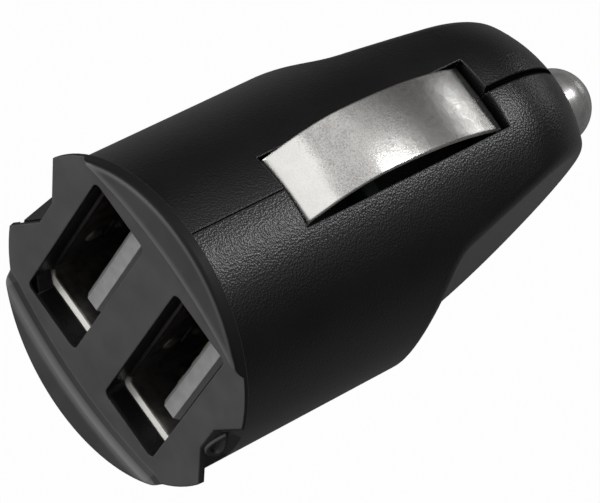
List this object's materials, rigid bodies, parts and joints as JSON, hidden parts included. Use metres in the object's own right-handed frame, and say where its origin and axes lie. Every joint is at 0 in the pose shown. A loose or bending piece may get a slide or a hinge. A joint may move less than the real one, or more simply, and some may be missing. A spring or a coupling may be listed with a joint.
{
  "type": "car usb charger plug",
  "caption": "Stubby car charger plug with side-by-side USB ports in its round flange, bowed side contacts on a barrel with a flat-sided nose, and a sprung tip pin.",
  "frame": {"origin": "on the plug's axis, in the plane of the flange's back, which stops against the socket's rim", "axes": "+Y along the plug towards the tip, +Z towards the upper side contact, +X towards the half of the housing that carries the face"},
  "size_m": [0.0211, 0.0421, 0.0254],
  "materials": {
    "housing_plastic": "black moulded plastic with a fine spark grain",
    "nickel_plate": "nickel plate, satin to bright",
    "spring_steel": "plain drawn wire and sheet",
    "shell_steel": "bright plated sheet",
    "insulator_plastic": "pale moulded plastic",
    "contact_gold": "gold plate",
    "board_green": "green solder mask",
    "component_black": "black moulded packages",
    "ferrite_grey": "pressed ferrite",
    "copper_wire": "enamelled copper",
    "can_aluminium": "bright can",
    "ceramic_tan": "fired ceramic"
  },
  "bodies": {
    "charger": {"housing_body": "housing_plastic", "housing_cover": "housing_plastic", "upper_ground_tab": "spring_steel", "lower_ground_tab": "spring_steel", "tip_spring": "spring_steel", "spring_terminal": "spring_steel", "socket_board": "board_green", "main_board": "board_green", "board_joint_pins": "contact_gold", "left_socket_shell": "shell_steel", "right_socket_shell": "shell_steel", "left_socket_insulator": "insulator_plastic", "right_socket_insulator": "insulator_plastic", "left_socket_contacts": "contact_gold", "right_socket_contacts": "contact_gold", "inductor_core": "ferrite_grey", "inductor_winding": "copper_wire", "input_capacitor": "can_aluminium", "output_capacitor": "can_aluminium", "converter_chip": "component_black", "blocking_diode": "component_black", "board_fuse": "ceramic_tan", "chip_resistors": "component_black", "ceramic_capacitor": "ceramic_tan"},
    "upper_contact": {"upper_side_contact": "nickel_plate"},
    "lower_contact": {"lower_side_contact": "nickel_plate"},
    "tip": {"tip_pin": "nickel_plate"}
  },
  "joints": [
    {"name": "tip_slide", "type": "slide", "parent": "charger", "child": "tip", "axis": [0, -1, 0], "range_m": [0, 0.003], "stiffness_N_per_m": 600, "springref_m": -0.004, "deforming": ["tip_spring"]},
    {"name": "upper_contact_press", "type": "slide", "parent": "charger", "child": "upper_contact", "axis": [0, 0, -1], "range_m": [0, 0.0021], "stiffness_N_per_m": 1500, "springref_m": -0.001},
    {"name": "lower_contact_press", "type": "slide", "parent": "charger", "child": "lower_contact", "axis": [0, 0, 1], "range_m": [0, 0.0021], "stiffness_N_per_m": 1500, "springref_m": -0.001}
  ]
}
